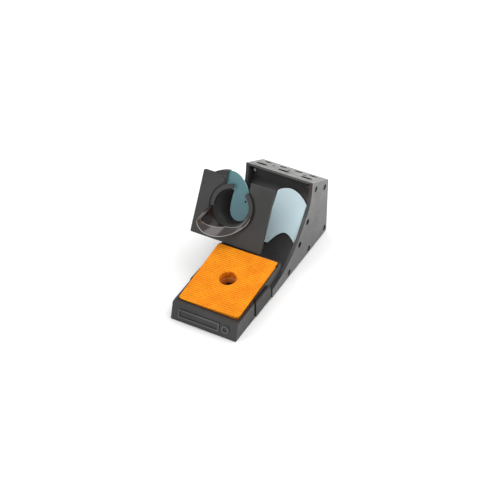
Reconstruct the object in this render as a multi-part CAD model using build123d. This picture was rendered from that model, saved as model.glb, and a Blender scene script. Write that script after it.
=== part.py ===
from build123d import *
import os
from math import cos, sin, radians, tan

os.makedirs("parts", exist_ok=True)

# Millimetres. X runs right, Y to the rear, Z up. The origin is the centre of the underside.
front_y, rear_y = -100.0, 100.0
half_w = 38.5            # outside of the side panels
wall = 3.5               # side panel thickness
foot_h = 1.5             # rubber feet and mat
floor_top = 4.0
rear_h = 68.5            # height of the rear wall
top_y, top_h = 62.0, 88.5  # front upper corner of the side panels
panel_y = -25.0          # front end of the side panels

tray_half, tray_rim = 37.0, 20.0
tray_neck = 34.8         # half width of the tray behind the clips
clip_y0, clip_y1 = -59.4, -26.8
well_half, well_y0, well_y1 = 33.9, -89.9, -4.2
sponge_w, sponge_l, sponge_y, sponge_z = 67.2, 83.6, -47.2, 20.2
layer_t, sponge_hole = 8.5, 9.0
sponge_tilt = 7.0        # the sponge slopes up to the rear

axle_y, axle_z, axle_r = 60.0, 40.0, 4.0
lean = 28.0              # holder plate, degrees back from upright
funnel_x, funnel_y, funnel_z = -29.0, 13.8, 66.0
plate_left, plate_right, plate_low, plate_high = -40.0, 42.0, -38.0, 29.5
plate_t = 3.0
ring_in, ring_out, groove_out, step_in = 19.6, 24.0, 26.2, 18.3
scoop_reach, scoop_slant = 13.3, 30.1   # height over the plate on the middle line, and its cut
pivot_u, pivot_v, pivot_r = -17.5, 24.5, 1.5   # leaf pivot, on the plate

side_plane = Plane(origin=(0, 0, 0), x_dir=(0, 1, 0), z_dir=(1, 0, 0))
plate_plane = Plane(origin=(funnel_x, funnel_y, funnel_z), x_dir=(1, 0, 0),
                    z_dir=(0, -cos(radians(lean)), sin(radians(lean))))
rack_angle = 27.8        # fall of the tip rack towards the rear
rack_t, tip_hole_r, tip_hole_down = 2.2, 1.8, 25.7
rack_plane = Plane(origin=(0, top_y, top_h), x_dir=(1, 0, 0),
                   z_dir=(0, sin(radians(rack_angle)), cos(radians(rack_angle))))


def block(x0, x1, y0, y1, z0, z1):
    """A box given by its six faces."""
    return Pos((x0 + x1) / 2, (y0 + y1) / 2, (z0 + z1) / 2) * Box(x1 - x0, y1 - y0, z1 - z0)


def rod(radius, x0, x1, y=axle_y, z=axle_z):
    """A cylinder along X."""
    return Pos((x0 + x1) / 2, y, z) * (Rot(0, 90, 0) * Cylinder(radius, x1 - x0))


def post(radius, x, y, z0, z1):
    """A cylinder along Z."""
    return Pos(x, y, (z0 + z1) / 2) * Cylinder(radius, z1 - z0)


def side_sheet(points, x0, x1, curve=()):
    """A plate in the YZ plane between x0 and x1. points and curve are (y, z) pairs."""
    if curve:
        edges = Spline(*curve) + Polyline(*points)
        face = make_face(edges)
    else:
        face = make_face(Polyline(*points, close=True))
    return extrude(side_plane.offset(x0) * face, x1 - x0)


def bent_sheet(points, thickness, x0, x1):
    """A sheet whose front follows the (y, z) points; its back is offset to the right of their run."""
    back = []
    for i, (y, z) in enumerate(points):
        (ya, za), (yb, zb) = points[max(i - 1, 0)], points[min(i + 1, len(points) - 1)]
        length = ((yb - ya) ** 2 + (zb - za) ** 2) ** 0.5
        back.append((y - thickness * (zb - za) / length, z + thickness * (yb - ya) / length))
    outline = Spline(*points) + Line(points[-1], back[-1]) + Spline(*back[::-1]) + Line(back[0], points[0])
    return extrude(side_plane.offset(x0) * make_face(outline), x1 - x0)


def on_plate(shape):
    """Carry a shape from the plate's own axes (u right, v up the plate, w outwards)."""
    return plate_plane.location * shape


def plate_point(v, w):
    """(y, z) of a point v up the plate and w outwards from it."""
    y = funnel_y + v * sin(radians(lean)) - w * cos(radians(lean))
    z = funnel_z + v * cos(radians(lean)) + w * sin(radians(lean))
    return y, z


def save(name, shape):
    """Write one node and keep it for the summary."""
    solids = shape.solids()
    if len(solids) > 1:
        shape = Compound(children=list(solids))
    elif len(solids) == 1:
        shape = solids[0]
    shape.label = name
    export_step(shape, f"parts/{name}.step")
    box = shape.bounding_box()
    print(f"{name:22s} {len(solids)} {box.min.X:7.1f} {box.max.X:7.1f} {box.min.Y:7.1f}"
          f" {box.max.Y:7.1f} {box.min.Z:7.1f} {box.max.Z:7.1f}")


# ---- rear housing ----
front_curve = [(top_y, top_h), (60.7, 76), (57.6, 64), (52.8, 56), (46.6, 49.2), (39.6, 42),
               (32.5, 35.2), (25, 29.4), (16, 23.6), (6, 18.6), (-8, 14.4), (panel_y, 11.4)]
panel_rest = [(panel_y, 11.4), (panel_y, foot_h), (rear_y, foot_h), (rear_y, rear_h),
              (top_y, top_h)]
panel_screw = [(70.2, 75.4), (91.5, 64), (94.5, 8), (57.5, 6.2), (12, 7)]
panel_pocket = [(52.9, 44.6), (35.6, 26.8)]


def side_panel(x0, x1):
    panel = side_sheet(panel_rest, x0, x1, front_curve)
    outer = x1 if x1 > 0 else x0
    for y, z in panel_screw + panel_pocket:
        panel -= rod(3.3, outer - 2.2, outer + 2.2, y, z)
    for y, z in panel_screw:
        panel -= rod(1.5, x0 - 1, x1 + 1, y, z)
    return panel


right_panel = side_panel(half_w - wall, half_w)
left_panel = side_panel(-half_w, wall - half_w)
right_panel -= rod(axle_r + 0.02, 30, half_w - 1.2)
save("right_side_panel", right_panel)
save("left_side_panel", left_panel)

for name, side in (("panel_screws_left", -1), ("panel_screws_right", 1)):
    head_in, head_out = side * (half_w - 2.2), side * (half_w - 1.0)
    screws = []
    for y, z in panel_screw:
        screw = rod(2.8, *sorted((head_in, head_out)), y, z)
        screw += rod(1.45, *sorted((head_in, side * (half_w - wall))), y, z)
        screws.append(screw - Pos(head_out, y, z) * Box(1.2, 8, 0.8))
    save(name, Compound(children=screws))

inside = half_w - wall
floor_pan = block(-inside, inside, -60, rear_y - 2.5, foot_h, floor_top)
floor_pan += block(-inside, inside, 84, rear_y - 2.5, floor_top, 12)
for x in (-inside, inside - 8):
    floor_pan += block(x, x + 8, 8, 15, floor_top, 7)
save("floor_pan", floor_pan)

rear_wall = block(-inside, inside, rear_y - 2.5, rear_y, foot_h, rear_h - 2)
for i in range(5):
    rear_wall -= block(-20, 20, rear_y - 4, rear_y + 1, 22 + 7 * i, 24.4 + 7 * i)
save("rear_wall", rear_wall)

# The rack lies between the side panels, with two lugs under its rear corners.
rack_depth = (rear_y - top_y) / cos(radians(rack_angle))
rack = Pos(0, rack_depth / 2 + 0.35, -rack_t / 2) * Box(2 * inside, rack_depth - 0.7, rack_t)
rack_slots = [(-27.6, 16.8, 12.4, 7), (-2.3, 16.8, 12.6, 7), (24.4, 16.8, 12.6, 7),
              (-28, 34, 7.6, 5.4), (-10.5, 34, 8, 5.4), (7.5, 34, 9.4, 5.4), (24.5, 34, 8, 5.4)]
for x, down, length, width in rack_slots:
    half = (length - width) / 2
    rack -= Pos(x, down, 0) * Box(2 * half, width, 12)
    for end in (-half, half):
        rack -= Pos(x + end, down, 0) * Cylinder(width / 2, 12)
for x in (-18, 0, 18):
    rack -= Pos(x, tip_hole_down, 0) * Cylinder(tip_hole_r, 12)
rack = rack_plane.location * rack
for x in (-inside, inside - 6):
    rack += block(x, x + 6, 88, 97.4, 60, 69)
rack -= block(-40, 40, rear_y - 2.5, rear_y + 9, 0, rear_h - 2)
rack -= block(-40, 40, rear_y, rear_y + 20, 0, 120)
save("tip_rack", rack)

ballast = block(-30, 30, 67, 83.5, floor_top, 11.5)
for x in (-22, 22):
    ballast -= post(2.1, x, 75, 0, 20)
save("ballast_plate", ballast)
for name, x in (("ballast_screw_left", -22), ("ballast_screw_right", 22)):
    head = post(3.8, x, 75, 11.5, 13.7) - block(x - 0.6, x + 0.6, 70, 80, 12.7, 15)
    save(name, head + post(2.0, x, 75, floor_top, 11.5))

save("cross_brace", block(-inside, inside, 55, 60, floor_top, 8))

wall_curve = [(68.4, 81.0), (68.1, 75), (66.9, 68.4), (60.6, 60), (52.8, 50.4), (45, 40.9),
              (37, 31.2), (29, 21.9), (19.5, 14.6), (9.5, 10.4), (1.4, 8.6)]
curved_wall = bent_sheet(wall_curve[::-1], -2.0, -inside, inside)
curved_wall -= block(-9.8, -1.4, 0, 90, 27, 62)
screws = []
for x in (-31, 31):
    curved_wall -= Pos(x, 69, 78.4) * (Rot(90, 0, 0) * Cylinder(1.3, 12))
    screw = Pos(x, 67.3, 78.4) * (Rot(90, 0, 0) * Cylinder(1.7, 1.0))
    screws.append(screw + Pos(x, 69.1, 78.4) * (Rot(90, 0, 0) * Cylinder(1.25, 2.6)))
save("curved_wall", curved_wall)
save("wall_screws", Compound(children=screws))

# ---- clips that carry the tray ----
for name, side in (("side_clip_left", -1), ("side_clip_right", 1)):
    x0, x1 = (35.6, 38.0) if side > 0 else (-38.0, -35.6)
    clip = side_sheet([(clip_y0, 2.0), (clip_y1, 2.0), (clip_y1, 11.0), (clip_y1 - 3.5, 20.4),
                       (clip_y0 + 1.5, 20.8), (clip_y0, 19.0)], x0, x1)
    tongue = (inside, 35.6) if side > 0 else (-35.6, -inside)
    clip += block(*tongue, clip_y0 + 2, clip_y1 - 2, 2.0, 3.6)
    save(name, clip)

# ---- feet ----
mat = block(-24, 24, -20, 20, 0, foot_h)
save("anti_slip_mat", mat)
for name, x, y in (("foot_front_left", -27, -52), ("foot_front_right", 27, -52),
                   ("foot_rear_left", -26, 84), ("foot_rear_right", 26, 84)):
    save(name, post(6.0, x, y, 0, foot_h) - post(2.0, x, y, -1, 0.8))

# ---- axle, friction stack and hub cover ----
web = side_sheet([(44, floor_top), (54.8, floor_top), (54.8, 8.2), (66.6, 8.2), (68, 46),
                  (65, 50), (57.5, 50), (50.5, 41), (44, 32)], 1, 4)
web -= rod(axle_r + 0.02, 0, 5)
save("axle_web", web)
axle = rod(axle_r, -12.5, half_w - 1.4) - rod(2.2, -14, -9.5)
save("axle", axle)
for name, x0, x1, r_out in (("friction_washer", 4.0, 5.4, 7.0), ("spring_cup", 5.4, 7.0, 6.6),
                            ("clamp_collar", 19.0, 26.0, 6.6)):
    save(name, rod(r_out, x0, x1) - rod(axle_r + 0.02, x0 - 1, x1 + 1))
spring_path = Helix(pitch=3.4, height=10.2, radius=5.35)
spring_wire = sweep(Plane(origin=spring_path @ 0, z_dir=spring_path % 0) * Circle(0.65), spring_path)
save("tension_spring", Pos(7.9, axle_y, axle_z) * (Rot(0, 90, 0) * spring_wire))
save("bearing_washer", rod(6.8, 0, 1) - rod(axle_r + 0.02, -1, 2))
save("retaining_nut", rod(6.2, -12.3, -8.1) - rod(axle_r + 0.02, -14, -7))

cover_angle = 51.0
cover_plane = Plane(origin=(0, 38, 36), x_dir=(1, 0, 0),
                    z_dir=(0, -sin(radians(cover_angle)), cos(radians(cover_angle))))
cover_l, cover_r = -1.2, inside - 0.4
cover_top = [(cover_l, 37.5), (2.5, 40.6), (9, 43.0), (15, 43.2), (22, 41), (28.5, 37), (cover_r, 31.6)]
cover_low = [(cover_r, -5), (32.8, -8.8), (28.5, -5), (23.6, -2.2), (19.4, -1.7), (14.5, -4.4),
             (10.2, -9.1), (4.6, -17)]
outline = Spline(*cover_top) + Polyline(cover_top[-1], cover_low[0], cover_low[1])
outline += Spline(*cover_low[1:]) + Polyline(cover_low[-1], (cover_l, -17), cover_top[0])
cover = extrude(make_face(outline), -1.3)
cover += Pos(inside - 0.8, 13, -1.3) * Box(1.6, 34, 1.2)
save("hub_cover", cover_plane.location * cover)

# ---- sponge tray ----
tray = side_sheet([(front_y, 0.8), (-61, 0.8), (-61, tray_rim + 0.5), (front_y + 9, tray_rim),
                   (front_y + 5, tray_rim - 0.8)], -tray_half, tray_half)
tray += side_sheet([(well_y0 - 1.2, 4.3), (0, 4.3), (0, 27.3), (well_y0 - 1.2, tray_rim + 0.2)],
                   -tray_neck, tray_neck)
slope = tan(radians(sponge_tilt))
well_z = sponge_z - layer_t / cos(radians(sponge_tilt)) - 0.25
tray -= side_sheet([(well_y0, well_z + (well_y0 - sponge_y) * slope),
                    (well_y1, well_z + (well_y1 - sponge_y) * slope), (well_y1, 40), (well_y0, 40)],
                   -well_half, well_half)
tray -= block(-34.8, 34.8, -90, -50, 0, 4.3)
save("sponge_tray", tray)
badge = Plane(origin=(0, front_y + 2.2, 9.6), x_dir=(1, 0, 0),
              z_dir=(0, -cos(radians(14.9)), sin(radians(14.9))))
frame_shape = Pos(-6, 0, 0.55) * Box(46, 9, 0.7) - Pos(-6, 0, 0.55) * Box(43.5, 6.5, 2)
frame_shape += Pos(24, 0, 0.55) * Cylinder(4.0, 0.7) - Pos(24, 0, 0.55) * Cylinder(2.8, 2)
save("tray_front_trim", badge.location * frame_shape)

sponge_plane = Plane(origin=(0, sponge_y, sponge_z), x_dir=(1, 0, 0),
                     z_dir=(0, -sin(radians(sponge_tilt)), cos(radians(sponge_tilt))))
layer = Box(sponge_w, sponge_l, layer_t) - Cylinder(sponge_hole, 2 * layer_t)
save("sponge_lower", sponge_plane.location * (Pos(0, 0, -layer_t / 2) * layer))
upper = Box(sponge_w, sponge_l, layer_t)
upper = fillet(upper.edges().group_by(Axis.Z)[-1], 1.5) - Cylinder(sponge_hole, 2 * layer_t)
save("sponge_upper", sponge_plane.location * (Pos(0, 0, layer_t / 2) * upper))

# ---- tilting holder: shapes below are in the plate's own axes ----
outline = Rectangle(plate_right - plate_left, plate_high - plate_low)
outline = fillet(outline.vertices(), 1.6)
plate = Pos((plate_left + plate_right) / 2, (plate_low + plate_high) / 2, -plate_t) \
    * extrude(outline, plate_t)
plate -= Cylinder(ring_in + 0.2, 20)
plate -= Pos(0, 0, -0.6) * (Cylinder(groove_out, 1.2) - Cylinder(ring_out, 20))
plate -= Pos(0.7, 22, 0) * Box(28.0, 30, 20)
plate -= Pos(-36.3, 15, 0) * Cylinder(0.6, 20)
plate -= Pos(pivot_u, pivot_v, 0) * Cylinder(pivot_r, 20)
rim = Pos((plate_left + plate_right) / 2, plate_low + 1.2, -plate_t - 2) \
    * Box(plate_right - plate_left - 10, 2.4, 4)
plate += rim
save("holder_plate", on_plate(plate))

ring = Pos(0, 0, 1.1) * (Cylinder(ring_out, 2.2) - Cylinder(ring_in, 5))
gap = make_face(Polyline((0, 0), (-6, 40), (29, 40), close=True))
ring -= Pos(0, 0, -1) * extrude(gap, 5)
step = Pos(0, 0, -0.6) * (Cylinder(ring_in + 0.15, 1.2) - Cylinder(step_in, 3))
ring += step & (Pos(0, -22, 0) * Box(60, 40, 8))
save("funnel_ring", on_plate(ring))

# The scoop runs level to the front from the ring and is cut off aslant: long on the left.
sketch = Circle(ring_out) - Circle(20.6)
sketch -= Pos(0, 21) * Rectangle(80, 50)
scoop = extrude(Pos(0, 0, 2.2) * sketch, 34, dir=(0, -sin(radians(lean)), cos(radians(lean))))
scoop -= Pos(0, 0, scoop_reach) * (Rot(0, scoop_slant, 0) * (Pos(0, 0, 40) * Box(160, 160, 80)))
save("funnel_scoop", on_plate(scoop))

# A cone narrows behind the plate; a gap under the plate lets the leaf swing.
cone_d = 19.0
cone = Cone(10.0, 21.4, cone_d) - Cone(8.6, 19.9, cone_d + 0.02)
cone = Pos(0, 0, -plate_t - cone_d / 2) * cone
cone -= Pos(12, 8, -plate_t - 0.85) * Box(36, 44, 1.9)
cone -= Pos(3, 24, -plate_t - 0.85) * Box(54, 20, 1.9)
save("funnel_cone", on_plate(cone))

# The leaf swings behind the plate; its outline is a curve closed by straight runs.
leaf_curve = [(-9.5, 35.6), (-1.6, 34), (5, 29.5), (10.4, 23.4), (14, 16), (16.8, 8), (18.5, 0),
              (18.7, -4.6), (16, -8.6), (11.5, -11.6), (5.5, -12.4), (0.6, -9.6), (-2.3, -4.6), (-3.2, 2)]
leaf_back = [(-3.2, 2), (-3.2, 10), (-2.9, 17), (-10, 19.2), (-21.5, 20), (-21.5, 29.5),
             (-16, 34.6), (-9.5, 35.6)]
leaf = extrude(make_face(Spline(*leaf_curve) + Polyline(*leaf_back)), 1.4)
leaf -= Pos(pivot_u, pivot_v, 0) * Cylinder(pivot_r + 0.06, 10)
leaf -= Pos(12.0, 9, 0) * Cylinder(1.1, 10)
save("blue_guard_leaf", on_plate(Pos(0, 0, -plate_t - 1.45) * leaf))
pin = Pos(0, 0, 0.5) * Cylinder(2.8, 1.0) + Pos(0, 0, -3) * Cylinder(pivot_r, 6)
pin += Pos(0, 0, -5.3) * Cylinder(2.8, 1.4)
save("leaf_pivot_pin", on_plate(Pos(pivot_u, pivot_v, 0) * pin))

# The hood is a ribbed piece of tube behind the upper left corner, on a foot under the plate.
hood_u, hood_v, hood_in, hood_out, hood_d = -11.5, 9.5, 24.2, 26.0, 4.0
hood = extrude(make_face(Polyline((0, 0), (-60, 50), (-60, 60), (-4, 60), close=True)), hood_d)
hood &= Pos(0, 0, hood_d / 2) * (Cylinder(hood_out, hood_d) - Cylinder(hood_in, 12))
foot = Pos(0, 0, hood_d + 0.8) * (Cylinder(hood_out, 1.6) - Cylinder(hood_in, 4))
hood += foot & (Pos(-23.8, 19, hood_d) * Box(20, 14, 8))
save("guard_hood", on_plate(Pos(hood_u, hood_v, -plate_t - 1.6 - hood_d) * hood))

# The cheek closes the hood over the plate's upper edge; its face is stepped in arcs.
above = Pos(-14.8, plate_high - hood_v + 10, 0) * Box(26, 20, 12)
cheek = Pos(0, 0, -1.5) * Cylinder(hood_out, 2.4)
for radius in (24.6, 23.0, 21.6):
    cheek -= Pos(0, 0, -0.5) * (Cylinder(radius, 0.8) - Cylinder(radius - 0.7, 2))
save("hood_cheek", on_plate(Pos(hood_u, hood_v, 0) * (cheek & above)))

# ---- lever between plate and axle ----
lever_top, lever_low = plate_point(-12, -plate_t), plate_point(-33, -plate_t)
lever = side_sheet([lever_top, (axle_y + 1, axle_z + 7.0), (axle_y + 3, axle_z - 7.0),
                    lever_low], -7.8, -3)
lever += rod(8.0, -8.0, 0)
lever -= rod(axle_r + 0.05, -9, 1)
lever -= rod(4.5, -9, 1, 31, 43.5)
save("tilt_lever", lever)
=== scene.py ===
# Soldering iron rest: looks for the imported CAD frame. Lengths are metres, +Z up, +Y to the rear.
import math

import bmesh
import bpy
import numpy as np
from mathutils import Matrix, Vector


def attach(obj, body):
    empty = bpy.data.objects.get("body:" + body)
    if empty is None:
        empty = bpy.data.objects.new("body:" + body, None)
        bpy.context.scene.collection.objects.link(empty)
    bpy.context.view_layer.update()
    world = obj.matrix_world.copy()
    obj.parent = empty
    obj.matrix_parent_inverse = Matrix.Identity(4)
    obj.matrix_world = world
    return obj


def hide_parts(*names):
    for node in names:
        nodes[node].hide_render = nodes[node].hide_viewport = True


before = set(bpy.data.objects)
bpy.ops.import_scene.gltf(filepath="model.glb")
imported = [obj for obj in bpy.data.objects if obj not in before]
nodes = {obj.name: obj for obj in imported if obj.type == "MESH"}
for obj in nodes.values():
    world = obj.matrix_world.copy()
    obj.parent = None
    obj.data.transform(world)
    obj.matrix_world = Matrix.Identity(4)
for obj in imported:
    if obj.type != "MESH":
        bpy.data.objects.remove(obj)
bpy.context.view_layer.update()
mm = 0.001
print("stage: frame loaded,", len(nodes), "nodes")


# A finish is a small node graph. "say" adds a node, links its inputs and returns one of its outputs.
class Graph:
    def __init__(self, name):
        self.material = bpy.data.materials.new(name)
        self.material.use_nodes = True
        self.tree = self.material.node_tree
        self.shader = self.tree.nodes["Principled BSDF"]
        self.place = self.tree.nodes.new("ShaderNodeTexCoord").outputs["Object"]

    def say(self, kind, inputs=None, out=0, **settings):
        node = self.tree.nodes.new(kind)
        for key, value in settings.items():
            setattr(node, key, value)
        for key, value in (inputs or {}).items():
            if hasattr(value, "is_output"):
                self.tree.links.new(value, node.inputs[key])
            else:
                node.inputs[key].default_value = value
        return node.outputs[out]

    def noise(self, scale, detail=4.0, rough=0.55, vector=None):
        return self.say("ShaderNodeTexNoise", {"Vector": vector or self.place, "Scale": scale,
                                               "Detail": detail, "Roughness": rough})

    def ramp(self, value, low, high, outLow=0.0, outHigh=1.0):
        return self.say("ShaderNodeMapRange", {"Value": value, "From Min": low, "From Max": high,
                                               "To Min": outLow, "To Max": outHigh})

    def mix(self, amount, first, second):
        node = self.tree.nodes.new("ShaderNodeMix")
        node.data_type = "RGBA"
        for key, kind, value in (("Factor", "VALUE", amount), ("A", "RGBA", first), ("B", "RGBA", second)):
            socket = [s for s in node.inputs if s.name == key and s.type == kind][0]
            if hasattr(value, "is_output"):
                self.tree.links.new(value, socket)
            else:
                socket.default_value = value
        return [s for s in node.outputs if s.type == "RGBA"][0]

    def calc(self, how, first, second):
        node = self.tree.nodes.new("ShaderNodeMath")
        node.operation = how
        for i, value in enumerate((first, second)):
            if hasattr(value, "is_output"):
                self.tree.links.new(value, node.inputs[i])
            else:
                node.inputs[i].default_value = value
        return node.outputs[0]

    def bump(self, height, strength, distance, below=None):
        inputs = {"Height": height, "Strength": strength, "Distance": distance}
        if below is not None:
            inputs["Normal"] = below
        return self.say("ShaderNodeBump", inputs)

    def finish(self, colour, rough, normal=None, **fixed):
        self.tree.links.new(colour, self.shader.inputs["Base Color"])
        self.tree.links.new(rough, self.shader.inputs["Roughness"])
        if normal is not None:
            self.tree.links.new(normal, self.shader.inputs["Normal"])
        for key, value in fixed.items():
            self.shader.inputs[key.replace("_", " ")].default_value = value
        return self.material


def rgb(red, green, blue):
    return (red, green, blue, 1.0)


def scaled(base, red, green, blue):
    return rgb(base[0] * red, base[1] * green, base[2] * blue)


# noise scales are per metre; the grain's depth is in metres
plastic = {
    "driftScale": 24.0, "grainScale": 1500.0, "speckScale": 420.0, "roughScale": 90.0,
    "speckFrom": 0.60, "speckTo": 0.78, "grainDepth": 0.12 * mm, "paintedShade": rgb(0.012, 0.012, 0.012),
}


def mouldedPlastic(name, tone, rough, grain=0.35, coat=0.0, tint=(1.0, 0.985, 0.97), dust=0.5, shade=None):
    # fine spark grain as bump; tone drifts with slow noise, and a little pale dust lies in patches;
    # shade = (z low, z high, amount) paints shade on the lower part, which goes darker towards the bottom
    g = Graph(name)
    slow = g.noise(plastic["driftScale"], 3.0)
    fine = g.noise(plastic["grainScale"], 2.0)
    dark = rgb(*(tone * 0.8 * t for t in tint))
    pale = rgb(*(tone * 1.25 * t for t in tint))
    colour = g.mix(g.ramp(slow, 0.35, 0.65), dark, pale)
    patches = g.noise(plastic["speckScale"], 6.0, 0.7)
    speck = g.ramp(patches, plastic["speckFrom"], plastic["speckTo"], 0.0, dust)
    colour = g.mix(speck, colour, rgb(tone * 2.2 + 0.01, tone * 2.1 + 0.01, tone * 2.0 + 0.01))
    # painted shade: below the given heights the colour is mixed towards a near-black shade colour
    if shade:
        low, high, amount = shade
        parts = g.tree.nodes.new("ShaderNodeSeparateXYZ")
        g.tree.links.new(g.place, parts.inputs[0])
        colour = g.mix(g.ramp(parts.outputs[2], low, high, amount, 0.0), colour, plastic["paintedShade"])
    roughness = g.ramp(g.noise(plastic["roughScale"], 5.0), 0.3, 0.7, rough - 0.06, rough + 0.08)
    normal = g.bump(fine, grain, plastic["grainDepth"])
    return g.finish(colour, roughness, normal, Coat_Weight=coat, Coat_Roughness=0.08,
                    Specular_IOR_Level=0.5)


def rackPlastic(name, tone, rough, fall, origin, depth):
    # as moulded plastic, but behind the top face's front edge, whatever lies below that face is painted near
    # black:
    # this is painted shade on the slot walls. "origin" is a point on the face's front edge, "fall" the face's
    # slope
    g = Graph(name)
    tilt = math.radians(fall)
    outward = (0.0, math.sin(tilt), math.cos(tilt))
    backward = (0.0, math.cos(tilt), -math.sin(tilt))
    out = g.say("ShaderNodeVectorMath", {0: g.place, 1: outward}, out=1, operation="DOT_PRODUCT")
    back = g.say("ShaderNodeVectorMath", {0: g.place, 1: backward}, out=1, operation="DOT_PRODUCT")
    faceOut = float(np.dot(origin, outward))
    edgeBack = float(np.dot(origin, backward))
    sunk = g.ramp(out, faceOut - depth, faceOut - 0.15 * mm, 1.0, 0.0)
    behind = g.ramp(back, edgeBack + 0.9 * mm, edgeBack + 1.4 * mm)
    slow = g.noise(plastic["driftScale"], 3.0)
    colour = g.mix(g.ramp(slow, 0.35, 0.65), rgb(tone * 0.85, tone * 0.83, tone * 0.81),
                   rgb(tone * 1.2, tone * 1.17, tone * 1.14))
    patches = g.noise(plastic["speckScale"], 6.0, 0.7)
    speck = g.ramp(patches, plastic["speckFrom"], plastic["speckTo"], 0.0, 0.4)
    colour = g.mix(speck, colour, rgb(tone * 2.0, tone * 1.9, tone * 1.85))
    # painted shade: the slot walls below the top face are mixed towards near black, and made rougher
    slotShade = g.calc("MULTIPLY", sunk, behind)
    colour = g.mix(slotShade, colour, rgb(0.002, 0.0015, 0.001))
    uneven = g.calc("ADD", g.noise(plastic["roughScale"], 5.0), g.calc("MULTIPLY", slotShade, 0.6))
    roughness = g.ramp(uneven, 0.3, 0.7, rough - 0.05, rough + 0.1)
    normal = g.bump(g.noise(plastic["grainScale"], 2.0), 0.35, plastic["grainDepth"])
    return g.finish(colour, roughness, normal, Coat_Weight=0.0, Specular_IOR_Level=0.5)


def brushedMetal(name, tone, rough, across=(1.0, 60.0, 60.0), tint=(1.0, 0.99, 0.97)):
    # scratches are noise stretched along X; they drive roughness and a faint bump
    g = Graph(name)
    long = g.say("ShaderNodeMapping", {"Vector": g.place, "Scale": across})
    lines = g.noise(60.0, 6.0, 0.7, long)
    stain = g.noise(140.0, 4.0)
    colour = g.mix(g.ramp(stain, 0.35, 0.7), rgb(*(tone * t for t in tint)),
                   rgb(*(tone * 0.72 * t for t in tint)))
    colour = g.mix(g.ramp(lines, 0.45, 0.75, 0.0, 0.35), colour, rgb(tone * 1.25, tone * 1.25, tone * 1.22))
    roughness = g.ramp(lines, 0.3, 0.7, rough - 0.08, rough + 0.12)
    return g.finish(colour, roughness, g.bump(lines, 0.15, 0.0001), Metallic=1.0)


def coatedSheet(name, low, high, rough, metal, bounds=(0.04, 0.09)):
    # colour slides from low to high over the heights in bounds, broken by slow noise: painted shade, darker
    # low on the sheet and lighter high up; thin scratches run up and down
    g = Graph(name)
    parts = g.tree.nodes.new("ShaderNodeSeparateXYZ")
    g.tree.links.new(g.place, parts.inputs[0])
    drift = g.ramp(g.noise(60.0, 3.0), 0.3, 0.7, -0.25, 0.25)
    # painted shade: the colour goes lighter with height
    heightShade = g.calc("ADD", g.ramp(parts.outputs[2], bounds[0], bounds[1]), drift)
    colour = g.mix(g.ramp(heightShade, 0.0, 1.0), low, high)
    scratchWay = g.say("ShaderNodeMapping", {"Vector": g.place, "Scale": (40.0, 4.0, 1.5)})
    scratch = g.noise(45.0, 7.0, 0.75, scratchWay)
    colour = g.mix(g.ramp(scratch, 0.6, 0.8, 0.0, 0.3), colour, rgb(0.75, 0.82, 0.85))
    roughness = g.ramp(scratch, 0.3, 0.7, rough - 0.05, rough + 0.12)
    return g.finish(colour, roughness, g.bump(g.noise(700.0, 3.0), 0.12, 0.0001), Metallic=metal,
                    Coat_Weight=0.25, Coat_Roughness=0.15)


def spongeFoam(name, deep, bright, ribPitch, ribStrength):
    # ribs are wave bands along Y, ribPitch apart (the node's own bands are 0.314 apart at scale 1); pores are
    # small cells, and larger, sparser holes lie among them; painted shade darkens the rib troughs, pores and
    # holes
    g = Graph(name)
    pores = g.say("ShaderNodeTexVoronoi", {"Vector": g.place, "Scale": 620.0, "Randomness": 1.0})
    holes = g.say("ShaderNodeTexVoronoi", {"Vector": g.place, "Scale": 210.0, "Randomness": 1.0})
    ribs = g.say("ShaderNodeTexWave", {"Vector": g.place, "Scale": 0.314 / ribPitch, "Distortion": 1.2,
                                       "Detail": 2.0, "Detail Scale": 3.0}, out=1,
                 wave_type="BANDS", bands_direction="Y")
    slow = g.noise(55.0, 4.0)
    colour = g.mix(g.ramp(slow, 0.3, 0.7), deep, bright)
    # painted shade: rib troughs, pores and holes get darker copies of the deep colour
    colour = g.mix(g.ramp(ribs, 0.0, 0.45, ribStrength, 0.0), colour, scaled(deep, 0.78, 0.62, 0.5))
    colour = g.mix(g.ramp(pores, 0.0, 0.33, 0.55, 0.0), colour, scaled(deep, 0.6, 0.45, 0.4))
    colour = g.mix(g.ramp(holes, 0.0, 0.16, 0.8, 0.0), colour, scaled(deep, 0.45, 0.32, 0.3))
    roughness = g.ramp(slow, 0.3, 0.7, 0.72, 0.9)
    normal = g.bump(ribs, 0.5 * ribStrength, 0.0006)
    normal = g.bump(g.ramp(pores, 0.0, 0.4), 0.55, 0.0004, normal)
    normal = g.bump(g.ramp(holes, 0.0, 0.2), 0.7, 0.0008, normal)
    return g.finish(colour, roughness, normal, Subsurface_Weight=0.05, Specular_IOR_Level=0.15)


def rubberPad(name, tone):
    # matte rubber with a fine pebble from cells
    g = Graph(name)
    cells = g.say("ShaderNodeTexVoronoi", {"Vector": g.place, "Scale": 900.0})
    slow = g.noise(50.0, 4.0)
    colour = g.mix(g.ramp(slow, 0.3, 0.7), rgb(tone, tone, tone), rgb(tone * 1.7, tone * 1.7, tone * 1.65))
    return g.finish(colour, g.ramp(slow, 0.3, 0.7, 0.75, 0.92), g.bump(cells, 0.3, 0.0002))


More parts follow.
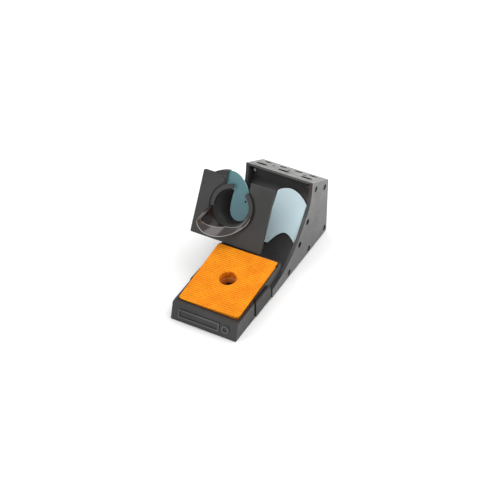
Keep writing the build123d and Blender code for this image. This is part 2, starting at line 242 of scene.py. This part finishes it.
finishes = {
    "shell": mouldedPlastic("shellPlastic", 0.030, 0.40),
    # the side panels get painted shade towards the bottom
    "panel": mouldedPlastic("sidePanelPlastic", 0.052, 0.30, coat=0.2, shade=(0.035, 0.080, 0.75)),
    "rack": rackPlastic("rackTopPlastic", 0.066, 0.27, 27.8, (0.0, 62.0 * mm, 88.5 * mm), 0.5 * mm),
    "clip": mouldedPlastic("clipPlastic", 0.012, 0.52),
    "tray": mouldedPlastic("trayPlastic", 0.022, 0.46),
    "trim": mouldedPlastic("trayTrimPlastic", 0.075, 0.38, grain=0.2),
    "holder": mouldedPlastic("holderPlastic", 0.030, 0.50),
    # the scoop's red tint is a painted reflection of the orange sponge on the glossy black
    "scoop": mouldedPlastic("polishedScoop", 0.014, 0.16, grain=0.05, coat=0.3, tint=(1.5, 0.95, 0.85),
                            dust=0.15),
    # leaf and cover are of one blue material: the leaf's much darker blue is painted shade for its face
    # turned away from the light, the cover's pale blue its lit copy
    "leaf": coatedSheet("shadedBlueLeaf", rgb(0.070, 0.150, 0.180), rgb(0.082, 0.205, 0.222), 0.36, 0.2,
                        bounds=(0.055, 0.095)),
    "cover": coatedSheet("litBlueCover", rgb(0.62, 0.79, 0.86), rgb(0.66, 0.84, 0.90), 0.36, 0.05,
                         bounds=(0.025, 0.06)),
    # near-white bead colour: painted highlight along the cover's top arc
    "arcHighlight": coatedSheet("paleArcHighlight", rgb(0.80, 0.90, 0.94), rgb(0.92, 0.97, 1.0), 0.25, 0.0),
    # light teal bead colour: painted highlight along the leaf's edges
    "leafEdgeHighlight": coatedSheet("leafEdgeHighlight", rgb(0.26, 0.42, 0.44), rgb(0.36, 0.54, 0.56), 0.3, 0.1),
    # pale rim beads: painted highlight along the scoop's glossy rims
    "scoopRimHighlight": mouldedPlastic("scoopRimHighlight", 0.34, 0.2, grain=0.05, coat=0.6, dust=0.1),
    # dark teal bead colour: painted shade along the cover's side edge
    "coverSideShade": coatedSheet("coverSideShade", rgb(0.06, 0.17, 0.18), rgb(0.09, 0.24, 0.24), 0.3, 0.1),
    "steel": brushedMetal("turnedSteel", 0.50, 0.30),
    "ballast": brushedMetal("ballastSteel", 0.30, 0.45),
    "zinc": brushedMetal("darkZinc", 0.20, 0.38, (20.0, 20.0, 20.0)),
    "spongeTop": spongeFoam("spongeTopFoam", rgb(0.78, 0.22, 0.004), rgb(0.92, 0.33, 0.012), 0.0026, 0.9),
    "spongeBase": spongeFoam("spongeBaseFoam", rgb(0.72, 0.24, 0.04), rgb(0.86, 0.40, 0.10), 0.004, 0.25),
    "rubber": rubberPad("footRubber", 0.02),
}
finishOf = {
    "right_side_panel": "panel", "left_side_panel": "panel", "floor_pan": "shell", "rear_wall": "shell",
    "tip_rack": "rack", "cross_brace": "shell", "curved_wall": "shell", "wall_screws": "steel",
    "side_clip_left": "clip", "side_clip_right": "clip",
    "axle_web": "shell", "panel_screws_left": "zinc", "panel_screws_right": "zinc",
    "ballast_plate": "ballast", "ballast_screw_left": "zinc", "ballast_screw_right": "zinc",
    "anti_slip_mat": "rubber", "foot_front_left": "rubber", "foot_front_right": "rubber",
    "foot_rear_left": "rubber", "foot_rear_right": "rubber", "axle": "steel", "friction_washer": "steel",
    "spring_cup": "steel", "clamp_collar": "steel", "tension_spring": "steel", "bearing_washer": "steel",
    "hub_cover": "cover", "sponge_tray": "tray", "tray_front_trim": "trim", "holder_plate": "holder",
    "funnel_ring": "holder", "funnel_cone": "holder", "blue_guard_leaf": "leaf",
    "leaf_pivot_pin": "holder", "guard_hood": "holder", "hood_cheek": "holder", "tilt_lever": "holder",
    "retaining_nut": "steel",
}
for nodeName, finishName in finishOf.items():
    mesh = nodes[nodeName].data
    mesh.materials.clear()
    mesh.materials.append(finishes[finishName])
print("stage: finishes made and laid on the CAD nodes")


def meshFromGrid(name, points, closedU, closedV, capU=False):
    # quads between neighbours of an (n, m, 3) grid; closed directions wrap;
    # capU puts a face on the first and the last row
    n, m = points.shape[:2]
    rows = np.arange(n if closedU else n - 1)
    cols = np.arange(m if closedV else m - 1)
    r, c = np.meshgrid(rows, cols, indexing="ij")
    r2, c2 = (r + 1) % n, (c + 1) % m
    faces = np.stack([r * m + c, r2 * m + c, r2 * m + c2, r * m + c2], axis=-1).reshape(-1, 4).tolist()
    if capU:
        faces.append(list(range(m)))
        faces.append(list(range((n - 1) * m, n * m))[::-1])
    mesh = bpy.data.meshes.new(name)
    mesh.from_pydata(points.reshape(-1, 3).tolist(), [], faces)
    mesh.update()
    piece = bpy.data.objects.new(name, mesh)
    bpy.context.scene.collection.objects.link(piece)
    turnOutwards(piece)
    mesh.shade_smooth()
    return piece


def turnOutwards(piece):
    # points that fall together are merged, and the faces turned outwards
    work = bmesh.new()
    work.from_mesh(piece.data)
    bmesh.ops.remove_doubles(work, verts=work.verts, dist=1e-6)
    bmesh.ops.recalc_face_normals(work, faces=work.faces)
    work.to_mesh(piece.data)
    work.free()
    piece.data.update()


def dress(piece, finishName, body):
    piece.data.materials.clear()
    piece.data.materials.append(finishes[finishName])
    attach(piece, body)
    return piece


# the sponge: two pads on a slope, in the slope's own axes (x right, y up the slope, z out of it)
sponge = {
    "halfWidth": 33.5 * mm, "halfLength": 41.7 * mm, "holeRadius": 9.1 * mm, "corner": 26.0,
    "centre": (0.0, -47.2 * mm, 20.2 * mm), "slope": 7.0, "layer": 8.45 * mm,
    "lowerGap": 0.05 * mm, "upperProud": 0.3 * mm, "lowerCrown": 0.2 * mm, "upperCrown": 0.9 * mm,
    "ribPitch": 2.6 * mm, "ribHeight": 0.28 * mm, "ragged": 0.25 * mm,
    "edgeRound": 1.6 * mm, "rimRoll": 0.5, "holeRoll": 0.3, "squeeze": 0.006,
    "curl": 2.6 * mm, "swell": 2.3 * mm, "rimFrom": 5.6 * mm, "swellRise": 2.0 * mm,
    "turnPoints": 360, "topRows": 74, "sideRows": 7,
}


def spongeLayer(name, low, high, ribbed, crown):
    # For turn a and s from 0 (hole) to 1 (rim): radius = hole + (rim(a) - hole) * s, where
    # rim(a) = ((|cos a| / A)^corner + (|sin a| / B)^corner)^(-1/corner) is a rounded rectangle. The top is at
    # high - crown - rib height + crown * (1 - (x/A)^4) * (1 - (y/B)^4), less a rolled edge that falls with
    # the square of the nearness to the rim or hole, plus |sin|^0.6 ribs along y and a small sine raggedness;
    # the loop over the top, down the rim, back below and up the hole closes the pad.
    a, b, hole, corner = sponge["halfWidth"], sponge["halfLength"], sponge["holeRadius"], sponge["corner"]
    angle = np.linspace(0, 2 * np.pi, sponge["turnPoints"], endpoint=False)
    ca, sa = np.cos(angle), np.sin(angle)
    rim = ((np.abs(ca) / a) ** corner + (np.abs(sa) / b) ** corner) ** (-1 / corner)
    top = np.linspace(0, 1, sponge["topRows"])
    side = np.linspace(0, 1, sponge["sideRows"])[1:-1]
    below = top[::-1][::3]
    s = np.concatenate([top, np.ones(len(side)), below, np.zeros(len(side))])[:, None]
    depth = np.concatenate([np.zeros(len(top)), side, np.ones(len(below)), side[::-1]])[:, None]
    radial = hole + (rim[None, :] - hole) * s
    x = radial * ca[None, :]
    y = radial * sa[None, :]
    edge = sponge["edgeRound"]
    toRim = np.minimum(a - np.abs(x), b - np.abs(y))
    toHole = np.hypot(x, y) - hole
    roll = np.clip(1 - toRim / edge, 0, 1) ** 2 * edge * sponge["rimRoll"]
    roll += np.clip(1 - toHole / edge, 0, 1) ** 2 * edge * sponge["holeRoll"]
    dome = crown * (1 - (x / a) ** 4) * (1 - (y / b) ** 4)
    ribs = sponge["ribHeight"] * np.abs(np.sin(np.pi * y / sponge["ribPitch"])) ** 0.6 if ribbed else 0
    waves = np.sin(x * 410 + 1.3) * np.sin(y * 530 + 0.7) + 0.5 * np.sin(x * 1170 + y * 960)
    zTop = high - crown - sponge["ribHeight"] + dome - roll + ribs + sponge["ragged"] * waves / 1.5 * 0.3
    z = zTop + (low - zTop) * depth
    # The rim is drawn in by the fraction squeeze at half depth. The right side curls up by
    # curl * across^2 * (0.65 - 0.35 y/B) * height, where across goes from 0 at the left to 1 at the right and
    # height from 0 at the bottom of both pads to 1 at the top. Above the tray's rim the wet pad bulges to the
    # right by swell * smoothstep((z - rimFrom) / swellRise) * s^6 * (x/A)^2, and to the front by half of
    # that with (y/B)^2.
    drawn = 1 - sponge["squeeze"] * np.sin(np.pi * depth) * (s > 0.5)
    aside = np.clip(0.5 + 0.5 * x / a, 0, 1)
    curl = sponge["curl"] * aside * aside * (0.65 - 0.35 * y / b)
    over = np.clip((z - sponge["rimFrom"]) / sponge["swellRise"], 0, 1)
    grow = sponge["swell"] * over * over * (3 - 2 * over) * s ** 6
    z = z + curl * np.clip((z + sponge["layer"]) / (2 * sponge["layer"]), 0, 1)
    x = x * drawn + grow * np.clip(x / a, 0, 1) ** 2
    y = y * drawn - 0.5 * grow * np.clip(-y / b, 0, 1) ** 2
    tilt = math.radians(sponge["slope"])
    cx, cy, cz = sponge["centre"]
    grid = np.stack([cx + x, cy + y * math.cos(tilt) - z * math.sin(tilt),
                     cz + y * math.sin(tilt) + z * math.cos(tilt)], axis=-1)
    return meshFromGrid(name, grid, True, True)


lowerPad = spongeLayer("spongeLowerPad", -sponge["layer"], -sponge["lowerGap"], False, sponge["lowerCrown"])
dress(lowerPad, "spongeBase", "sponge")
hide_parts("sponge_lower")
upperTop = sponge["layer"] + sponge["upperProud"]
upperPad = spongeLayer("spongeUpperPad", 0.0, upperTop, True, sponge["upperCrown"])
dress(upperPad, "spongeTop", "sponge")
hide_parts("sponge_upper")
print("stage: sponge layers made")

# the plate's own axes: u right, v up the plate, w out of it
plate = {"origin": (-29.0 * mm, 13.8 * mm, 66.0 * mm), "lean": 28.0}


def onPlate(u, v, w):
    tilt = math.radians(plate["lean"])
    x0, y0, z0 = plate["origin"]
    return np.stack([x0 + u, y0 + v * math.sin(tilt) - w * math.cos(tilt),
                     z0 + v * math.cos(tilt) + w * math.sin(tilt)], axis=-1)


# the scoop: a wall round the lower part of the plate's opening, with a lip between its two front edges
scoop = {
    "outer": 24.0 * mm, "inner": 20.7 * mm, "start": 2.25 * mm, "first": 190.0, "last": 350.0,
    "reach": 13.2 * mm, "fall": 0.58, "lipLow": 270.0, "lipRise": 0.345 * mm, "lipEdge": 1.1 * mm,
    "leastOuter": 0.6 * mm, "leastInner": 0.3 * mm, "lipCurve": 1.25, "lipWide": 0.35 * mm,
    "lipProud": 0.25 * mm, "turnPoints": 161, "wallRows": 12, "lipRows": 10,
}


def wallLengths(degrees):
    # how far the wall runs to the front at each turn: at its outer radius, and at its inner one
    slant = scoop["fall"] * scoop["outer"] * np.cos(np.radians(degrees))
    far = (scoop["reach"] - scoop["start"] - slant) / math.cos(math.radians(plate["lean"]))
    far = np.maximum(far, scoop["leastOuter"])
    near = np.minimum(scoop["lipRise"] * (scoop["lipLow"] - degrees), far - scoop["lipEdge"])
    return far, np.maximum(near, scoop["leastInner"])


def makeScoop():
    # For turn a from first to last the wall runs level to the front. Its outer length is
    # L(a) = (reach - start - fall * R * cos a) / cos(lean), at least leastOuter. Its inner length is
    # lipRise * (lipLow - a), at most L - lipEdge and at least leastInner, so the lip is narrow on the left
    # and wide at the foot. The lip blends from outer to inner with bend^lipCurve, and swells by
    # lipWide * sin(pi bend) in radius and lipProud * sin(pi bend) in length.
    tilt = math.radians(plate["lean"])
    degrees = np.linspace(scoop["first"], scoop["last"], scoop["turnPoints"])[:, None]
    turn = np.radians(degrees)
    far, near = wallLengths(degrees)
    up = np.linspace(0, 1, scoop["wallRows"])
    bend = np.linspace(0, 1, scoop["lipRows"])[1:-1]
    swell = np.sin(np.pi * bend)
    lipRadius = scoop["outer"] + (scoop["inner"] - scoop["outer"]) * bend + scoop["lipWide"] * swell
    lipLength = far + (near - far) * bend ** scoop["lipCurve"] + scoop["lipProud"] * swell
    radius = np.concatenate([np.full(len(up), scoop["outer"]), lipRadius, np.full(len(up), scoop["inner"])])
    length = np.concatenate([far * up, lipLength, near * up[::-1]], axis=1)
    u = radius * np.cos(turn)
    v = radius * np.sin(turn) - length * math.sin(tilt)
    w = scoop["start"] + length * math.cos(tilt)
    return meshFromGrid("glossScoop", onPlate(u, v, w), False, True, capU=True)


glossScoop = makeScoop()
dress(glossScoop, "scoop", "holder")
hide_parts("funnel_scoop")
print("stage: scoop made")


# thin beads along the edges of the two blue sheets; corners are millimetres in each sheet's own plane
bead = {"facets": 10, "spanSteps": 8, "fadeSteps": 4.0, "leastFade": 0.15}
coverSheet = {
    "origin": (0.0, 38.0 * mm, 36.0 * mm), "rise": 51.0, "lift": -0.1 * mm,
    "arcRadius": 0.45 * mm, "sideRadius": 0.55 * mm,
    "arc": ((-1.2, 37.5), (2.5, 40.6), (9, 43.0), (15, 43.2), (22, 41), (28.5, 37), (34.3, 31.8)),
    "side": ((34.3, 31.8), (34.35, 20), (34.35, 8), (34.3, -4.5), (32.9, -8.2)),
}
leafSheet = {
    "outerRadius": 0.20 * mm, "outerLift": -3.27 * mm, "innerRadius": 0.18 * mm, "innerLift": -3.26 * mm,
    "outer": ((-9.5, 35.6), (-1.6, 34), (5, 29.5), (10.4, 23.4), (14, 16), (16.8, 8), (18.5, 0),
              (18.7, -4.6)),
    "inner": ((-3.2, 15), (-3.2, 8), (-3.2, 2), (-2.3, -4.6), (0.6, -9.6), (5.5, -12.4), (11.5, -11.6),
              (16, -8.6)),
}


def onCover(x, s, w):
    rise = math.radians(coverSheet["rise"])
    x0, y0, z0 = coverSheet["origin"]
    return np.stack([x0 + x, y0 + s * math.cos(rise) - w * math.sin(rise),
                     z0 + s * math.sin(rise) + w * math.cos(rise)], axis=-1)


def edgeBead(name, corners, radius, lift, place):
    # A Catmull-Rom curve c(t) through the corners, at the height lift over the sheet's plane; round it the
    # bead's points are c + r * (cos q * n, sin q), where n is the curve's in-plane normal and q turns once.
    # r fades as sqrt(step / fadeSteps) at both ends, but never below sqrt(leastFade) of the radius.
    p = np.array(corners, dtype=float) * mm
    p = np.vstack([2 * p[0] - p[1], p, 2 * p[-1] - p[-2]])
    t = np.linspace(0, 1, bead["spanSteps"], endpoint=False)[None, :, None]
    a, b, c, d = p[:-3, None], p[1:-2, None], p[2:-1, None], p[3:, None]
    spans = 0.5 * (2 * b + (c - a) * t + (2 * a - 5 * b + 4 * c - d) * t ** 2
                   + (3 * b - a - 3 * c + d) * t ** 3)
    line = np.vstack([spans.reshape(-1, 2), p[-2:-1]])
    run = np.gradient(line, axis=0)
    run /= np.linalg.norm(run, axis=1)[:, None]
    q = np.linspace(0, 2 * np.pi, bead["facets"], endpoint=False)[None, :]
    step = np.arange(len(line))[:, None]
    toEnd = np.minimum(step, len(line) - 1 - step)
    r = radius * np.sqrt(np.clip(toEnd / bead["fadeSteps"], bead["leastFade"], 1.0))
    first = line[:, :1] - run[:, 1:] * np.cos(q) * r
    second = line[:, 1:] + run[:, :1] * np.cos(q) * r
    third = lift + np.sin(q) * r
    return meshFromGrid(name, place(first, second, third), False, True, capU=True)


# the arc and leaf beads carry painted highlights, the cover's side bead painted shade
for name, sheet, edge, lift, place, finish, body, slot in (
        ("coverArcBead", coverSheet, "arc", "lift", onCover, "arcHighlight", "base", "cover_blue"),
        ("coverSideBead", coverSheet, "side", "lift", onCover, "coverSideShade", "base", "cover_blue"),
        ("leafOuterBead", leafSheet, "outer", "outerLift", onPlate, "leafEdgeHighlight", "leaf", "leaf_teal"),
        ("leafInnerBead", leafSheet, "inner", "innerLift", onPlate, "leafEdgeHighlight", "leaf", "leaf_teal")):
    dress(edgeBead(name, sheet[edge], sheet[edge + "Radius"], sheet[lift], place), finish, body)


scoopBeads = {
    "outerRadius": 0.38 * mm, "innerRadius": 0.30 * mm, "first": 191.0, "last": 348.0,
    "turnPoints": 97, "facets": 10, "fadeSteps": 10.0, "leastFade": 0.1,
}


def scoopBead(name, side):
    # A tube round the scoop's outer (or inner) front edge
    # P(a) = (R cos a, R sin a - L sin(lean), start + L cos(lean)). Its points are
    # P + r * (cos q * radial + sin q * outward), with r fading as a square root at both ends.
    tilt = math.radians(plate["lean"])
    degrees = np.linspace(scoopBeads["first"], scoopBeads["last"], scoopBeads["turnPoints"])[:, None]
    turn = np.radians(degrees)
    far, near = wallLengths(degrees)
    length = far if side == "outer" else near
    q = np.linspace(0, 2 * np.pi, scoopBeads["facets"], endpoint=False)[None, :]
    step = np.arange(len(degrees))[:, None]
    toEnd = np.minimum(step, len(degrees) - 1 - step)
    fade = np.sqrt(np.clip(toEnd / scoopBeads["fadeSteps"], scoopBeads["leastFade"], 1.0))
    r = scoopBeads[side + "Radius"] * fade
    u = (scoop[side] + r * np.cos(q)) * np.cos(turn)
    v = (scoop[side] + r * np.cos(q)) * np.sin(turn) - length * math.sin(tilt)
    w = scoop["start"] + length * math.cos(tilt) + r * np.sin(q)
    return meshFromGrid(name, onPlate(u, v, w), False, True, capU=True)


# the scoop's rim beads carry a painted highlight
dress(scoopBead("scoopOuterBead", "outer"), "scoopRimHighlight", "holder")
dress(scoopBead("scoopInnerBead", "inner"), "scoopRimHighlight", "holder")
print("stage: edge beads made")


# light, floor and camera: places and sizes in metres, angles in degrees, powers in watts; lens and sensor
# in millimetres, shift as a part of the picture's width
studio = {
    "floorTone": 0.97, "floorHalf": 4.0, "floorPoints": 9,
    "worldTone": 0.94, "worldStrength": 0.92,
    "keyPlace": (0.45, 0.45, 0.85), "keyPower": 6.0, "keySize": 0.9,
    "fillPlace": (-0.7, -0.5, 0.9), "fillPower": 4.0, "fillSize": 0.9,
    "target": (0.0, -0.010, 0.030), "azimuth": 28.26, "elevation": 39.8, "distance": 1.5,
    "lens": 105.95, "sensor": 36.0, "shift": (0.008, 0.012), "clip": (0.05, 20.0),
}


def floorFinish():
    # pale matte board with a trace of slow mottling
    g = Graph("paleBoard")
    board = rgb(studio["floorTone"], studio["floorTone"], studio["floorTone"])
    colour = g.mix(g.ramp(g.noise(3.0, 3.0), 0.3, 0.7), board, scaled(board, 0.985, 0.985, 0.98))
    roughness = g.ramp(g.noise(8.0, 3.0), 0.3, 0.7, 0.78, 0.86)
    return g.finish(colour, roughness, Specular_IOR_Level=0.2)


def makeStage():
    # the board is a flat square grid at z = 0
    line = np.linspace(-studio["floorHalf"], studio["floorHalf"], studio["floorPoints"])
    x, y = np.meshgrid(line, line, indexing="ij")
    board = meshFromGrid("floorBoard", np.stack([x, y, np.zeros_like(x)], axis=-1), False, False)
    if board.data.polygons[0].normal.z < 0:
        board.data.flip_normals()
    board.data.materials.append(floorFinish())
    world = bpy.data.worlds.new("softRoom")
    world.use_nodes = True
    tone = studio["worldTone"]
    back = world.node_tree.nodes["Background"]
    back.inputs["Color"].default_value = rgb(tone, tone, tone)
    back.inputs["Strength"].default_value = studio["worldStrength"]
    bpy.context.scene.world = world
    for name in ("key", "fill"):
        lamp = bpy.data.lights.new(name + "Light", "AREA")
        lamp.energy = studio[name + "Power"]
        lamp.size = studio[name + "Size"]
        holder = bpy.data.objects.new(name + "Light", lamp)
        bpy.context.scene.collection.objects.link(holder)
        place = Vector(studio[name + "Place"])
        toward = Vector(studio["target"]) - place
        holder.matrix_world = Matrix.Translation(place) @ toward.to_track_quat("-Z", "Y").to_matrix().to_4x4()


def makeCamera():
    azimuth, elevation = math.radians(studio["azimuth"]), math.radians(studio["elevation"])
    level = math.cos(elevation)
    back = Vector((math.sin(azimuth) * level, -math.cos(azimuth) * level, math.sin(elevation)))
    eye = bpy.data.cameras.new("benchCamera")
    eye.lens = studio["lens"]
    eye.sensor_width = studio["sensor"]
    eye.shift_x, eye.shift_y = studio["shift"]
    eye.clip_start, eye.clip_end = studio["clip"]
    camera = bpy.data.objects.new("benchCamera", eye)
    bpy.context.scene.collection.objects.link(camera)
    place = Vector(studio["target"]) + back * studio["distance"]
    camera.matrix_world = Matrix.Translation(place) @ (-back).to_track_quat("-Z", "Y").to_matrix().to_4x4()
    bpy.context.scene.camera = camera


makeStage()
makeCamera()
bpy.context.scene.view_settings.view_transform = "Standard"
print("stage: floor, light and camera set")
